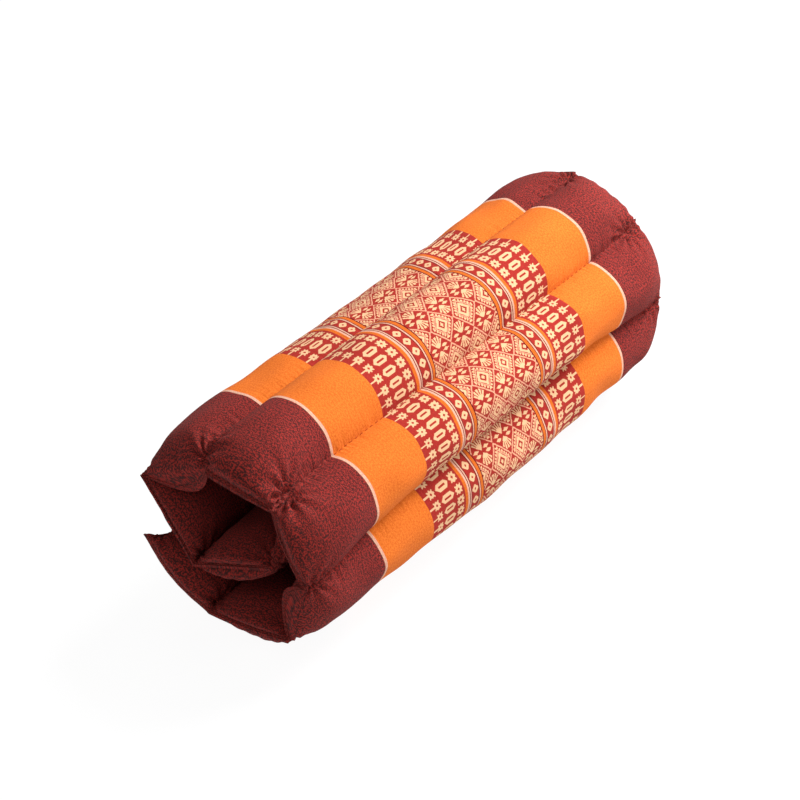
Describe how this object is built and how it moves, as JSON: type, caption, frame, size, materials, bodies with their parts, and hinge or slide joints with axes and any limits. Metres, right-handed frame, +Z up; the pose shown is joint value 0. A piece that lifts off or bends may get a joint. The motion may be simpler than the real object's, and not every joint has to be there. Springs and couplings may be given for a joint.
{
  "type": "meditation cushion",
  "caption": "Small quilted kapok mat rolled up along its stuffed channels, banded face cloth outwards, lying on its side.",
  "frame": {"origin": "under the middle of the roll, on the surface that it lies on", "axes": "+X along the roll, away from the end that shows its turns; +Z up"},
  "size_m": [0.35, 0.1294, 0.138],
  "materials": {
    "banded_cloth": "woven cotton, wine red ends, orange bands and a patterned middle",
    "backing_cloth": "plain woven cotton, wine red shot with black",
    "sewing_thread": "spun sewing thread"
  },
  "bodies": {
    "root": {"cushion": "banded_cloth"}
  },
  "joints": []
}
